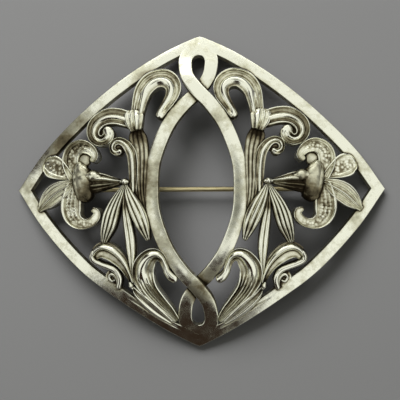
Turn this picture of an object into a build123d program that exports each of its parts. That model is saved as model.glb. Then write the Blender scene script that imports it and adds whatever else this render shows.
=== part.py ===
# An openwork silver sash brooch, lying face up on a table.
# +X runs to its right-hand tip, +Y to its top tip and +Z up out of its face.
# The origin is on the table under the middle. Lengths are in millimetres.
from build123d import *
from collections import namedtuple
import math
import os

import numpy as np

# Driving dimensions: the outline and the sheet.
half_width = 37.5  # middle to the left or right tip
half_height = 31.75  # middle to the top or bottom tip
dome_rise = 8.0  # the middle stands this far above the four tips
sheet_thickness = 1.2
rim_width = 2.3
band_width = 2.7  # the two bands that cross above and below the opening
ribbon_width = 3.0  # the scrolls at their widest
relief_height = 1.5  # the highest cast relief above the sheet
band_lift = 0.6  # the rounded back of each band above the sheet
overlap_step = 0.55  # how much the upper band rises where two bands cross

# Driving dimensions: the pin and what carries it.
pin_diameter = 1.0
pin_height = 2.75  # its middle above the table
hinge_reach = 23.0  # middle of the brooch to the hinge, and to the catch
pin_overrun = 3.2  # how far the point runs past the catch
point_length = 4.5
knuckle_diameter = 2.3
knuckle_width = 1.9
rivet_diameter = 0.9
ear_thickness = 0.8
catch_wall = 0.6
catch_length = 2.4

# Named clearances.
running_clearance = 0.05  # rivet in the knuckle, on the radius
side_clearance = 0.12  # knuckle to each ear
rivet_gap = 0.01  # rivet in the ears, on the radius
pin_clearance = 0.1  # pin to the walls and roof of its catch

# How finely the relief is cut into flat facets.
facet_pitch = 0.97
samples_per_span = 9
ridge_weight = 0.05  # how strongly the facets follow the ridges

# A line of ornament: each station's place across and up is a share of the half width and
# half height, its breadth a share of the ribbon width, its lift a share of the relief.
Station = namedtuple("Station", "across up breadth lift")


def stations(*rows):
    return [Station(*row) for row in rows]


# Half of the interlaced line: from the top of the upper eye round its left side, over the
# crossing, down the right of the opening and round the left of the lower eye.
band = [
    (0.000, 0.905),
    (-0.044, 0.890),
    (-0.072, 0.846),
    (-0.076, 0.788),
    (-0.056, 0.704),
    (0.000, 0.617),
    (0.070, 0.532),
    (0.140, 0.420),
    (0.191, 0.292),
    (0.227, 0.150),
    (0.235, 0.000),
    (0.227, -0.150),
    (0.191, -0.292),
    (0.140, -0.420),
    (0.070, -0.532),
    (0.000, -0.617),
    (-0.056, -0.704),
    (-0.076, -0.788),
    (-0.072, -0.846),
    (-0.044, -0.890),
    (0.000, -0.905),
]
crossing_up = 0.617  # share of the half height, above and below the middle

# The foliage of the right-hand side. The left-hand side mirrors it.
foliage = {
    "hook scroll": stations(
        (0.322, 0.440, 0.90, 0.56),
        (0.315, 0.512, 0.94, 0.58),
        (0.307, 0.565, 1.06, 0.62),
        (0.292, 0.622, 1.18, 0.68),
        (0.262, 0.670, 1.26, 0.72),
        (0.222, 0.697, 1.22, 0.76),
        (0.180, 0.699, 1.24, 0.76),
        (0.146, 0.676, 1.16, 0.74),
        (0.128, 0.633, 1.06, 0.70),
        (0.134, 0.583, 0.92, 0.66),
        (0.155, 0.540, 0.74, 0.64),
        (0.176, 0.506, 0.62, 0.68),
        (0.191, 0.480, 0.62, 0.74),
        (0.197, 0.462, 0.60, 0.74),
    ),
    "cup under the hook": stations(
        (0.322, 0.470, 1.00, 0.70),
        (0.328, 0.428, 1.36, 1.05),
        (0.322, 0.392, 1.26, 0.90),
        (0.313, 0.360, 1.00, 0.50),
    ),
    "outward scroll": stations(
        (0.338, 0.396, 0.90, 0.60),
        (0.379, 0.433, 1.02, 0.60),
        (0.427, 0.453, 1.12, 0.64),
        (0.477, 0.455, 1.14, 0.66),
        (0.523, 0.434, 1.06, 0.66),
        (0.553, 0.397, 1.00, 0.64),
        (0.560, 0.352, 0.92, 0.62),
        (0.545, 0.315, 0.86, 0.62),
        (0.515, 0.299, 0.84, 0.70),
        (0.488, 0.310, 0.84, 0.80),
        (0.474, 0.336, 0.80, 0.90),
    ),
    "small curl": stations(
        (0.334, -0.020, 0.60, 0.40),
        (0.336, 0.060, 0.66, 0.50),
        (0.338, 0.140, 0.78, 0.56),
        (0.346, 0.210, 0.82, 0.62),
        (0.368, 0.266, 0.78, 0.66),
        (0.403, 0.292, 0.70, 0.66),
        (0.434, 0.280, 0.62, 0.66),
        (0.446, 0.250, 0.54, 0.66),
        (0.438, 0.222, 0.50, 0.74),
        (0.410, 0.216, 0.48, 0.85),
    ),
    "upper trunk": stations(
        (0.316, 0.360, 0.90, 0.30),
        (0.308, 0.300, 1.30, 0.40),
        (0.302, 0.220, 1.34, 0.55),
        (0.299, 0.130, 1.26, 0.60),
        (0.297, 0.040, 1.10, 0.55),
        (0.290, -0.040, 0.90, 0.45),
        (0.277, -0.120, 0.70, 0.30),
        (0.262, -0.190, 0.50, 0.20),
    ),
    "trumpet": stations(
        (0.350, 0.034, 0.40, 0.75),
        (0.370, 0.036, 0.34, 0.60),
        (0.430, 0.046, 0.50, 0.70),
        (0.490, 0.057, 0.74, 0.85),
        (0.543, 0.070, 0.98, 1.08),
        (0.576, 0.060, 1.60, 0.90),
        (0.602, 0.050, 2.16, 1.00),
        (0.630, 0.040, 2.56, 0.98),
        (0.650, 0.034, 2.50, 0.80),
    ),
    "top petal": stations(
        (0.668, 0.092, 0.96, 0.50),
        (0.683, 0.150, 1.10, 0.60),
        (0.683, 0.200, 1.12, 0.75),
        (0.662, 0.243, 1.06, 0.85),
        (0.622, 0.264, 0.94, 0.90),
        (0.582, 0.252, 0.76, 0.85),
        (0.554, 0.224, 0.58, 0.78),
        (0.545, 0.196, 0.46, 0.70),
    ),
    "hollow of the top petal": stations(
        (0.640, 0.120, 0.70, 0.10),
        (0.622, 0.186, 1.10, 0.12),
        (0.596, 0.222, 0.70, 0.10),
    ),
    "oval petal": stations(
        (0.672, 0.068, 0.50, 0.44),
        (0.704, 0.092, 0.84, 0.52),
        (0.738, 0.114, 1.26, 0.60),
        (0.772, 0.136, 1.50, 0.66),
        (0.792, 0.147, 1.36, 0.62),
    ),
    "pointed petal": stations(
        (0.668, 0.034, 0.50, 0.44),
        (0.702, 0.016, 0.90, 0.54),
        (0.738, -0.006, 1.24, 0.64),
        (0.776, -0.034, 1.38, 0.72),
        (0.810, -0.068, 1.20, 0.70),
        (0.838, -0.098, 0.84, 0.58),
        (0.856, -0.120, 0.46, 0.44),
    ),
    "bottom petal": stations(
        (0.670, -0.010, 1.20, 0.50),
        (0.677, -0.070, 1.40, 0.62),
        (0.678, -0.124, 1.42, 0.72),
        (0.668, -0.172, 1.22, 0.80),
        (0.644, -0.206, 0.96, 0.84),
        (0.612, -0.220, 0.74, 0.82),
        (0.578, -0.216, 0.60, 0.78),
        (0.548, -0.198, 0.56, 0.76),
        (0.529, -0.171, 0.54, 0.76),
        (0.533, -0.146, 0.48, 0.74),
    ),
    "inner leaf": stations(
        (0.368, 0.012, 0.34, 0.60),
        (0.352, -0.045, 0.70, 0.82),
        (0.326, -0.112, 0.98, 0.96),
        (0.303, -0.172, 1.04, 1.00),
        (0.282, -0.236, 0.92, 0.92),
        (0.266, -0.288, 0.66, 0.76),
        (0.259, -0.312, 0.48, 0.60),
    ),
    "outer leaf": stations(
        (0.382, 0.012, 0.34, 0.60),
        (0.408, -0.045, 0.68, 0.82),
        (0.434, -0.108, 0.94, 0.96),
        (0.453, -0.170, 1.12, 1.00),
        (0.470, -0.238, 1.08, 0.94),
        (0.485, -0.292, 0.80, 0.80),
        (0.492, -0.322, 0.56, 0.64),
    ),
    "stem": stations(
        (0.376, 0.000, 0.40, 0.40),
        (0.378, -0.113, 0.50, 0.48),
        (0.370, -0.187, 0.62, 0.58),
        (0.361, -0.255, 0.72, 0.64),
        (0.353, -0.330, 0.74, 0.66),
        (0.348, -0.400, 0.66, 0.66),
        (0.347, -0.500, 0.50, 0.60),
    ),
    "leaf that curls to the band": stations(
        (0.124, -0.815, 0.70, 0.30),
        (0.156, -0.768, 0.84, 0.42),
        (0.194, -0.722, 1.00, 0.55),
        (0.250, -0.640, 1.20, 0.72),
        (0.280, -0.568, 1.44, 0.86),
        (0.285, -0.510, 1.46, 0.94),
        (0.268, -0.463, 1.32, 1.00),
        (0.241, -0.429, 1.10, 1.00),
        (0.211, -0.420, 0.84, 0.90),
        (0.184, -0.438, 0.60, 0.78),
        (0.165, -0.482, 0.52, 0.66),
        (0.152, -0.524, 0.52, 0.65),
        (0.124, -0.561, 0.50, 0.70),
    ),
    "leaf along the rim": stations(
        (0.352, -0.596, 0.36, 0.80),
        (0.340, -0.622, 0.44, 0.60),
        (0.316, -0.664, 0.70, 0.50),
        (0.266, -0.720, 0.92, 0.45),
        (0.212, -0.776, 0.84, 0.36),
        (0.152, -0.834, 0.60, 0.25),
    ),
    "outer arch": stations(
        (0.346, -0.580, 0.40, 0.80),
        (0.365, -0.528, 0.56, 0.82),
        (0.391, -0.478, 0.74, 0.86),
        (0.424, -0.436, 0.92, 0.92),
        (0.464, -0.400, 1.04, 0.96),
        (0.502, -0.386, 1.04, 0.96),
        (0.532, -0.400, 0.88, 0.90),
        (0.552, -0.428, 0.60, 0.78),
    ),
    "return of the outer arch": stations(
        (0.556, -0.410, 0.44, 0.78),
        (0.560, -0.440, 0.46, 0.72),
        (0.552, -0.460, 0.48, 0.66),
        (0.528, -0.479, 0.50, 0.58),
        (0.492, -0.496, 0.50, 0.54),
        (0.457, -0.518, 0.50, 0.54),
        (0.432, -0.552, 0.50, 0.54),
        (0.425, -0.596, 0.50, 0.52),
        (0.434, -0.640, 0.50, 0.48),
    ),
    "whorl within the return": stations(
        (0.476, -0.582, 0.90, 0.20),
        (0.492, -0.552, 1.06, 0.35),
    ),
}

# Shares of the half width and half height where a side of the outline changes its curve:
# the top sides are straighter than the bottom ones, and the bottom tip is rounded.
upper_side = [(0.0, 0.995), (0.05, 0.972), (0.21, 0.875), (0.43, 0.699), (0.64, 0.491),
              (0.85, 0.240), (1.0, 0.0)]
lower_side = [(0.0, 1.0), (0.05, 0.974), (0.21, 0.872), (0.43, 0.705), (0.64, 0.519),
              (0.85, 0.252), (1.0, 0.0)]


def smooth_line(rows, per_span):
    # A soft curve through the rows, with every column blended alike.
    rows = np.array(rows, float)
    ends = np.vstack([2 * rows[0] - rows[1], rows, 2 * rows[-1] - rows[-2]])
    step = np.arange(per_span)[:, None] / per_span
    spans = []
    for before, start, end, after in zip(ends, ends[1:], ends[2:], ends[3:]):
        spans.append(
            start
            + step / 2 * (end - before)
            + step**2 * (before - 2.5 * start + 2 * end - after / 2)
            + step**3 * (1.5 * (start - end) + (after - before) / 2)
        )
    return np.vstack(spans + [rows[-1:]])


def dome_height(across, up):
    return dome_rise * (1 - (across / half_width) ** 2 - (up / half_height) ** 2)


def outline_points():
    # The bowed, four-sided outline, once round from the right-hand tip.
    upper = smooth_line(upper_side, samples_per_span) * (half_width, half_height)
    lower = smooth_line(lower_side, samples_per_span) * (half_width, half_height)
    return np.vstack([
        upper[:0:-1],
        upper[:-1] * (-1, 1),
        lower[:0:-1] * (-1, -1),
        lower[:-1] * (1, -1),
    ])


def outline_depth(points):
    # How far each point lies inside the outline, negative outside it.
    corners = outline_points()
    nearest = np.full(len(points), np.inf)
    crossings = np.zeros(len(points), int)
    for start, end in zip(corners, np.roll(corners, -1, axis=0)):
        side = end - start
        share = np.clip((points - start) @ side / (side @ side), 0, 1)
        nearest = np.minimum(nearest, np.hypot(*(points - start - share[:, None] * side).T))
        spans = (start[1] > points[:, 1]) != (end[1] > points[:, 1])
        if side[1]:
            reach = start[0] + (points[:, 1] - start[1]) * side[0] / side[1]
            crossings += spans & (points[:, 0] < reach)
    return np.where(crossings % 2 == 1, nearest, -nearest)


# A sampled strand: where its middle runs, its half breadth there and its lift.
Strand = namedtuple("Strand", "middle radius lift")


def foliage_strand(rows, side):
    line = smooth_line(rows, samples_per_span)
    return Strand(
        line[:, :2] * (side * half_width, half_height),
        line[:, 2] * ribbon_width / 2,
        line[:, 3] * relief_height,
    )


def band_strand(side):
    line = smooth_line(band, samples_per_span) * (side * half_width, half_height)
    # Each band is the upper one at one crossing and the lower one at the other.
    near_top = np.exp(-(((line[:, 1] - crossing_up * half_height) / (1.6 * band_width)) ** 2))
    near_foot = np.exp(-(((line[:, 1] + crossing_up * half_height) / (1.6 * band_width)) ** 2))
    lift = band_lift + side * overlap_step * (near_top - near_foot)
    return Strand(line, np.full(len(line), band_width / 2), lift)


def all_strands():
    made = [band_strand(1), band_strand(-1)]
    for rows in foliage.values():
        made += [foliage_strand(rows, 1), foliage_strand(rows, -1)]
    return made


def metal_depth(points, strands):
    # Positive in metal: in the rim, or within a strand's half breadth of its middle.
    inside = outline_depth(points)
    depth = np.minimum(inside, rim_width - inside)
    for strand in strands:
        gap = np.hypot(*(points[:, None] - strand.middle[None]).T)
        depth = np.maximum(depth, (strand.radius[:, None] - gap).max(axis=0))
    return np.minimum(depth, inside)


def relief_at(points, strands):
    # The height of the face above the dome: a flat rim, and strands with rounded backs.
    relief = np.full(len(points), sheet_thickness)
    for strand in strands:
        gap = np.hypot(*(points[:, None] - strand.middle[None]).T)
        share = gap / strand.radius[:, None]
        crown = strand.lift[:, None] * (1 - np.clip(share, 0, 1) ** 2)
        relief = np.maximum(relief, sheet_thickness + crown.max(axis=0))
    return relief


def grid_lines(reach):
    # Evenly spaced lines, one of them through the middle and one just past each tip.
    count = math.ceil(reach / facet_pitch)
    return np.arange(-count - 1, count + 2) * reach / count


def openwork_facets(strands):
    # Cuts the metal's plan into small polygons, cell by cell of a grid. Returns the plan
    # points, the polygons and the edges of the metal, both as point numbers.
    columns, rows = grid_lines(half_width), grid_lines(half_height)
    nodes = np.stack(np.meshgrid(columns, rows, indexing="ij"), axis=-1)
    depth = metal_depth(nodes.reshape(-1, 2), strands).reshape(nodes.shape[:2])
    places, numbers = [], {}

    def point_number(key, place):
        if key not in numbers:
            numbers[key] = len(places)
            places.append(place)
        return numbers[key]

    def edge_point(first, second):
        if first > second:
            first, second = second, first
        share = np.clip(depth[first] / (depth[first] - depth[second]), 0.12, 0.88)
        place = nodes[first] + share * (nodes[second] - nodes[first])
        return point_number((first, second), place)

    polygons, edges = [], []
    for across in range(len(columns) - 1):
        for up in range(len(rows) - 1):
            corners = [(across, up), (across + 1, up), (across + 1, up + 1), (across, up + 1)]
            solid = [depth[corner] > 0 for corner in corners]
            if not any(solid):
                continue
            ring = []
            for turn, corner in enumerate(corners):
                following = corners[(turn + 1) % 4]
                if solid[turn]:
                    ring.append((point_number(corner, nodes[corner]), False))
                if solid[turn] != solid[(turn + 1) % 4]:
                    ring.append((edge_point(corner, following), True))
            # Two solid corners across a cell are joined through its middle.
            polygons.append([number for number, cut in ring])
            for (here, cut_here), (there, cut_there) in zip(ring, ring[1:] + ring[:1]):
                if cut_here and cut_there:
                    edges.append((here, there))
    return np.array(places), polygons, edges


def plan_area(points, triangle):
    (x1, y1, _), (x2, y2, _), (x3, y3, _) = (points[number] for number in triangle)
    return (x2 - x1) * (y3 - y1) - (x3 - x1) * (y2 - y1)


def split_into_triangles(polygon, points):
    # A fan from the corner whose thinnest triangle is fattest; a full square is split
    # along its higher diagonal, so the facets follow the ridges.
    best, best_score = None, -math.inf
    for turn in range(len(polygon)):
        ring = polygon[turn:] + polygon[:turn]
        fan = [(ring[0], second, third) for second, third in zip(ring[1:], ring[2:])]
        spoke = points[ring[0]][2] + points[ring[len(ring) // 2]][2]
        score = min(plan_area(points, triangle) for triangle in fan) + ridge_weight * spoke
        if score > best_score:
            best, best_score = fan, score
    return best


def openwork_solid(strands):
    places, polygons, edges = openwork_facets(strands)
    back = dome_height(places[:, 0], places[:, 1])
    under = np.column_stack([places, back])
    over = np.column_stack([places, back + relief_at(places, strands)])
    under, over = under.tolist(), over.tolist()
    under_corners = [Vector(*point) for point in under]
    over_corners = [Vector(*point) for point in over]
    faces = []
    for polygon in polygons:
        for triangle in split_into_triangles(polygon, over):
            faces.append(flat_face([over_corners[number] for number in triangle]))
        for triangle in split_into_triangles(polygon, under):
            faces.append(flat_face([under_corners[number] for number in reversed(triangle)]))
    for here, there in edges:
        faces.append(flat_face([
            under_corners[here], under_corners[there], over_corners[there], over_corners[here]
        ]))
    return Solid(Shell(faces))


def flat_face(corners):
    return Face(Wire.make_polygon(corners, close=True))


def crosswise_rod(across, height, radius, width):
    # A round bar along Y at the pin's height.
    return Pos(across, 0, height) * Rot(90, 0, 0) * Cylinder(radius, width)


def hinge_ears():
    # Two soldered ears with the rivet's bore through them, under the left-hand flower.
    top = dome_height(-hinge_reach, 0) + sheet_thickness / 2
    radius = knuckle_diameter / 2
    inner = knuckle_width / 2 + side_clearance
    ears = []
    for side in (-1, 1):
        middle = side * (inner + ear_thickness / 2)
        plate = Pos(-hinge_reach, middle, (top + pin_height) / 2) * Box(
            2 * radius, ear_thickness, top - pin_height
        )
        nose = Pos(0, middle, 0) * crosswise_rod(-hinge_reach, pin_height, radius, ear_thickness)
        ears.append(plate + nose)
    bore = crosswise_rod(-hinge_reach, pin_height, rivet_diameter / 2 + rivet_gap, 3 * inner + 4)
    return [ear - bore for ear in ears]


def pin_catch():
    # A soldered trough, open downwards, so the pin swings straight in and out.
    top = dome_height(hinge_reach, 0) + sheet_thickness / 2
    room = pin_diameter / 2 + pin_clearance
    foot = pin_height - room
    block = Pos(hinge_reach, 0, (top + foot) / 2) * Box(
        catch_length, 2 * (room + catch_wall), top - foot
    )
    channel = Pos(hinge_reach, 0, pin_height - room) * Box(2 * catch_length, 2 * room, 2 * room)
    roof = Pos(hinge_reach, 0, pin_height) * Rot(0, 90, 0) * Cylinder(room, 2 * catch_length)
    return block - channel - roof


def pin_with_knuckle():
    # The wire runs straight from its knuckle through the catch to a ground point.
    wire_end = hinge_reach + pin_overrun - point_length
    length = wire_end + hinge_reach
    radius = pin_diameter / 2
    knuckle = crosswise_rod(-hinge_reach, pin_height, knuckle_diameter / 2, knuckle_width)
    wire = Pos(-hinge_reach + length / 2, 0, pin_height) * Rot(0, 90, 0) * Cylinder(radius, length)
    point = Pos(wire_end + point_length / 2, 0, pin_height) * Rot(0, 90, 0) * Cone(
        radius, radius * 0.12, point_length
    )
    bore_radius = rivet_diameter / 2 + running_clearance
    bore = crosswise_rod(-hinge_reach, pin_height, bore_radius, 2 * knuckle_width)
    return knuckle + wire + point - bore


def hinge_rivet():
    width = knuckle_width + 2 * (side_clearance + ear_thickness)
    return crosswise_rod(-hinge_reach, pin_height, rivet_diameter / 2, width)


front = openwork_solid(all_strands()) + hinge_ears() + pin_catch()

os.makedirs("parts", exist_ok=True)
for name, solid in {
    "openwork_front": front,
    "pin_stem": pin_with_knuckle(),
    "hinge_rivet": hinge_rivet(),
}.items():
    export_step(solid, f"parts/{name}.step", write_pcurves=False)
    print(name, round(solid.volume, 1), "mm3", len(solid.solids()), "solid")
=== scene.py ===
import math

import bpy
import numpy as np
from mathutils import Matrix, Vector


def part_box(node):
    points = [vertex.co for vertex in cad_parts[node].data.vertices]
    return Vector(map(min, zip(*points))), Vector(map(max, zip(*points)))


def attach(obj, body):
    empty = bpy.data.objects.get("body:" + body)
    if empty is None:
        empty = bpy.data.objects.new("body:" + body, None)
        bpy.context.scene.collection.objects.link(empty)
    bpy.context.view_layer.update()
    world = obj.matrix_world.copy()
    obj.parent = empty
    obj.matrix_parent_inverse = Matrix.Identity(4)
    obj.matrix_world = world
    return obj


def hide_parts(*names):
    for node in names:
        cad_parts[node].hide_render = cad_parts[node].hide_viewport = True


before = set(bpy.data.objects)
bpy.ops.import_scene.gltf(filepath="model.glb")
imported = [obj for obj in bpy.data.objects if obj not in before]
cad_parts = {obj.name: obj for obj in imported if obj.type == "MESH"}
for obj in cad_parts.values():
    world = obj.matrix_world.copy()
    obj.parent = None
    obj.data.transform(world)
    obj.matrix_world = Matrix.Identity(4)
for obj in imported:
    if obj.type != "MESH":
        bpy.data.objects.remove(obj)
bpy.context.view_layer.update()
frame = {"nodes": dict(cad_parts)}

mm = 0.001  # everything is worked out in millimetres and scaled as its mesh is made

# the domed sheet that every piece of the front lies on, middle over the origin
sheet = {"halfWide": 37.5, "halfHigh": 31.75, "domeRise": 8.0, "thickness": 1.2}
# Ribbon and relief are the breadth and height that the foliage's rows are shares of. A nose is
# a rounded end, noseLift how slowly its height falls off, bunching how much closer the points
# lie at the edges of a face, backReach how far out its back goes, and sharpFrom the angle in
# degrees from which an edge is sharp.
ornament = {
    "ribbon": 3.0, "relief": 1.5, "stepAlong": 0.15, "noseSteps": 9, "noseLift": 0.35,
    "bunching": 0.25, "backPoints": 6, "backReach": 0.97, "sharpFrom": 50,
}
curves = {"pointsPerSpan": 24, "fewestSteps": 8}
print("frame read:", ", ".join(frame["nodes"]))


def lengthAlong(line):
    # the length of a plan line from its start to each of its points: the sum of its steps
    return np.concatenate([[0], np.cumsum(np.hypot(*np.diff(line[:, :2], axis=0).T))])


def evenLine(line, count):
    # the same line at so many points, evenly spaced along its length in the plan
    run = lengthAlong(line)
    even = np.linspace(0, run[-1], count)
    return np.column_stack([np.interp(even, run, column) for column in line.T])


def smoothLine(rows, spacing):
    # a cubic from each row to the next, whose slope at a row is half the way from the row
    # before it to the row after it, all columns alike, then stepped evenly
    rows = np.array(rows, float)
    ends = np.vstack([2 * rows[0] - rows[1], rows, 2 * rows[-1] - rows[-2]])
    step = (np.arange(curves["pointsPerSpan"]) / curves["pointsPerSpan"])[:, None]
    spans = []
    for before, start, end, after in zip(ends, ends[1:], ends[2:], ends[3:]):
        spans.append(
            start
            + step / 2 * (end - before)
            + step**2 * (before - 2.5 * start + 2 * end - after / 2)
            + step**3 * (1.5 * (start - end) + (after - before) / 2)
        )
    dense = np.vstack(spans + [rows[-1:]])
    steps = max(round(lengthAlong(dense)[-1] / spacing), curves["fewestSteps"])
    return evenLine(dense, steps + 1)


def headings(line):
    # the unit direction of a plan line at each point: the step between its neighbours over
    # the length of that step
    ahead = np.gradient(line, axis=0)
    return ahead / np.hypot(*ahead.T)[:, None]


def rightOf(ahead):
    # the directions a quarter turn to the right of the ones given
    return np.stack([ahead[:, 1], -ahead[:, 0]], axis=-1)


def besideLine(line, towards, half, u):
    # the points beside each place of a line: u times its half breadth away, in one direction
    return line[:, None] + towards[:, None] * (u[None, :, None] * half[:, None, None])


def onSheet(plan, lift):
    # the point that stands lift above the sheet's face, square to the dome, whose height is
    # its rise times 1 less the squares of the shares across and up
    x, y = plan[..., 0], plan[..., 1]
    slopeX = 2 * sheet["domeRise"] * x / sheet["halfWide"] ** 2
    slopeY = 2 * sheet["domeRise"] * y / sheet["halfHigh"] ** 2
    size = np.sqrt(slopeX**2 + slopeY**2 + 1)
    dome = sheet["domeRise"] * (1 - (x / sheet["halfWide"]) ** 2 - (y / sheet["halfHigh"]) ** 2)
    return np.stack([
        x + slopeX / size * lift,
        y + slopeY / size * lift,
        dome + sheet["thickness"] + lift / size,
    ], axis=-1)


def underSheet(plan, share):
    # the point that share of the sheet's thickness below its face, square to the dome
    steepness = onSheet(plan, 1.0)[..., 2] - onSheet(plan, 0.0)[..., 2]
    return onSheet(plan, -sheet["thickness"] * share / steepness)


def hump(u, middle, reachDown, reachUp):
    # one rounded ridge across a ribbon, the cosine of a quarter turn times the share of its
    # reach: 1 at its middle, 0 past its reach on either side
    away = u - middle
    share = np.where(away < 0, away / reachDown, away / reachUp)
    return np.cos(np.clip(share, -1, 1) * math.pi / 2)


def ridges(u, floor, rows):
    # the highest of a floor and several humps, each row giving middle, reaches and height
    humps = [tall * hump(u, middle, down, up) for middle, down, up, tall in rows]
    return np.maximum(floor, np.max(humps, axis=0))


def crown(u, edge=0.0):
    # a half-round back, the root of 1 less u squared, that stands on upright edges
    return edge + (1 - edge) * np.sqrt(np.clip(1 - u**2, 0, 1))


def flutes(u, count, depth, edge=0.45):
    # a half-round back cut by sharp valleys into so many broad rounded flutes, each half a
    # wave of the sine, made blunt
    return crown(u, edge) * (1 - depth + depth * np.abs(np.sin(math.pi * count * (u + 1) / 2)) ** 0.7)


def ease(s, start, end):
    # a soft step along a line, from 0 before start to 1 past end
    share = np.clip((s - start) / (end - start), 0, 1)
    return share * share * (3 - 2 * share)


def inTurn(s, height, *changes):
    # one cross-section after another along a line, each easing into the next between a start
    # and an end
    for start, end, then in changes:
        height = height + (then - height) * ease(s, start, end)
    return height


# The cross-sections: height over the sheet by u, from -1 on the outer side of a curl to 1 on
# its inner side, and s, from 0 at the start of the line to 1 at its end. Each row of ribs is
# one ridge: its middle, its reach outwards and inwards, and its height.
stemRibs = [
    (-0.92, 0.3, 0.14, 0.62), (-0.58, 0.16, 0.16, 0.64), (-0.22, 0.16, 0.16, 0.66),
    (0.46, 0.50, 0.54, 1.0),
]
hookRibs = [
    (-0.93, 0.3, 0.12, 0.74), (-0.64, 0.12, 0.12, 0.58), (0.30, 0.72, 0.66, 1.0),
]
cupRibs = [
    (-0.78, 0.3, 0.24, 0.80), (-0.34, 0.24, 0.24, 0.90), (0.28, 0.52, 0.70, 1.0),
]
scrollRibs = [
    (-0.93, 0.3, 0.13, 0.74), (-0.60, 0.12, 0.12, 0.52), (0.10, 0.56, 0.50, 1.0),
    (0.86, 0.20, 0.3, 0.74),
]
leafRibs = [
    (-0.92, 0.3, 0.18, 0.66), (-0.58, 0.16, 0.16, 0.76), (-0.27, 0.15, 0.15, 0.72),
    (0.03, 0.15, 0.15, 0.78), (0.33, 0.15, 0.15, 0.74), (0.61, 0.13, 0.13, 0.76),
    (0.88, 0.15, 0.3, 1.0),
]
trumpetRibs = [
    (-0.92, 0.2, 0.22, 0.90), (-0.34, 0.56, 0.52, 1.0), (0.34, 0.26, 0.22, 0.84),
    (0.68, 0.16, 0.20, 0.68), (0.95, 0.12, 0.2, 0.62),
]
curlRibs = [
    (-0.95, 0.3, 0.10, 0.62), (-0.12, 0.86, 0.74, 1.0), (0.93, 0.16, 0.3, 0.60),
]
smallCurlRibs = [(-0.86, 0.3, 0.22, 0.84), (0.10, 0.62, 0.80, 1.0)]
archRibs = [(-0.36, 0.66, 0.56, 1.0), (0.92, 0.16, 0.3, 0.70)]
twinRibs = [(-0.62, 0.44, 0.36, 0.85), (0.46, 0.50, 0.54, 1.0)]
petalRibs = [
    (-0.90, 0.3, 0.18, 0.98), (-0.52, 0.12, 0.12, 0.72), (-0.20, 0.12, 0.12, 0.70),
    (0.24, 0.12, 0.12, 0.66), (0.90, 0.20, 0.3, 0.80),
]
ovalRibs = [
    (-0.90, 0.3, 0.16, 1.0), (-0.58, 0.10, 0.10, 0.66), (0.58, 0.10, 0.10, 0.66),
    (0.90, 0.16, 0.3, 1.0),
]
foldRibs = [
    (-0.90, 0.3, 0.20, 0.76), (-0.48, 0.22, 0.20, 0.90), (0.06, 0.32, 0.24, 1.0),
    (0.50, 0.18, 0.16, 0.80), (0.90, 0.18, 0.3, 0.84),
]
spoonRibs = [(-0.86, 0.3, 0.26, 0.95), (0.88, 0.22, 0.3, 0.72)]
sections = {
    "hook": lambda u, s: inTurn(
        s, ridges(u, 0.34, stemRibs), (0.10, 0.32, ridges(u, 0.34, hookRibs)),
        (0.84, 0.96, crown(u, 0.3)),
    ),
    "acanthus": lambda u, s: inTurn(
        s, ridges(u, 0.44, leafRibs), (0.34, 0.52, ridges(u, 0.36, curlRibs)),
        (0.74, 0.88, crown(u, 0.3)),
    ),
    "scroll": lambda u, s: inTurn(s, ridges(u, 0.36, scrollRibs), (0.80, 0.94, crown(u, 0.3))),
    "curl": lambda u, s: inTurn(s, ridges(u, 0.40, smallCurlRibs), (0.84, 0.96, crown(u, 0.3))),
    "arch": lambda u, s: ridges(u, 0.36, archRibs),
    "twin": lambda u, s: ridges(u, 0.36, twinRibs),
    "trunk": lambda u, s: flutes(u, 4, 0.34),
    "cup": lambda u, s: crown(u, 0.80) * ridges(u, 0.62, cupRibs),
    "leaf": lambda u, s: flutes(u, 3, 0.40),
    "leafWide": lambda u, s: flutes(u, 4, 0.40),
    "stem": lambda u, s: flutes(u, 2, 0.36),
    "round": lambda u, s: crown(u, 0.2),
    "trumpet": lambda u, s: crown(u, 0.40) * ridges(u, 0.58, trumpetRibs),
    "bell": lambda u, s: crown(u, 0.1) * (0.90 + 0.10 * np.abs(np.cos(2.0 * math.pi * u)) ** 0.7),
    "petal": lambda u, s: ridges(u, 0.58, petalRibs),
    "oval": lambda u, s: ridges(u, 0.54, ovalRibs),
    "folded": lambda u, s: ridges(u, 0.58, foldRibs),
    # two raised edges, and fine bars across the hollow between them as far as its middle
    "ribbed": lambda u, s: np.maximum(
        ridges(u, 0.48, spoonRibs),
        (0.60 + 0.08 * np.abs(np.sin(math.pi * 24 * s)) + 0.07 * np.cos(5 * math.pi * u))
        * hump(u, -0.1, 0.9, 1.2) ** 0.5 * (1 - ease(s, 0.42, 0.60)),
    ),
    "dish": lambda u, s: 0.5 * crown(u),
}


def closeRings(rings):
    # quads between neighbouring rings, and a fan to one point at either end
    ringCount, around = rings.shape[:2]
    number = np.arange(ringCount * around).reshape(ringCount, around)
    beside = np.roll(number, -1, axis=1)
    quads = np.stack([number[:-1], beside[:-1], beside[1:], number[1:]], axis=-1).reshape(-1, 4)
    tip = np.full(around, ringCount * around)
    fans = np.vstack([
        np.stack([number[0], tip, beside[0]], axis=-1),
        np.stack([number[-1], beside[-1], tip + 1], axis=-1),
    ])
    ends = [rings[0].mean(axis=0), rings[-1].mean(axis=0)]
    return np.vstack([rings.reshape(-1, 3), ends]), quads, fans


def closeLoop(rings):
    # quads round a ring whose last section meets its first
    ringCount, around = rings.shape[:2]
    number = np.arange(ringCount * around).reshape(ringCount, around)
    beside, ahead = np.roll(number, -1, axis=1), np.roll(number, -1, axis=0)
    quads = np.stack([number, beside, np.roll(ahead, -1, axis=1), ahead], axis=-1).reshape(-1, 4)
    return rings.reshape(-1, 3), quads, np.zeros((0, 3), int)


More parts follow.
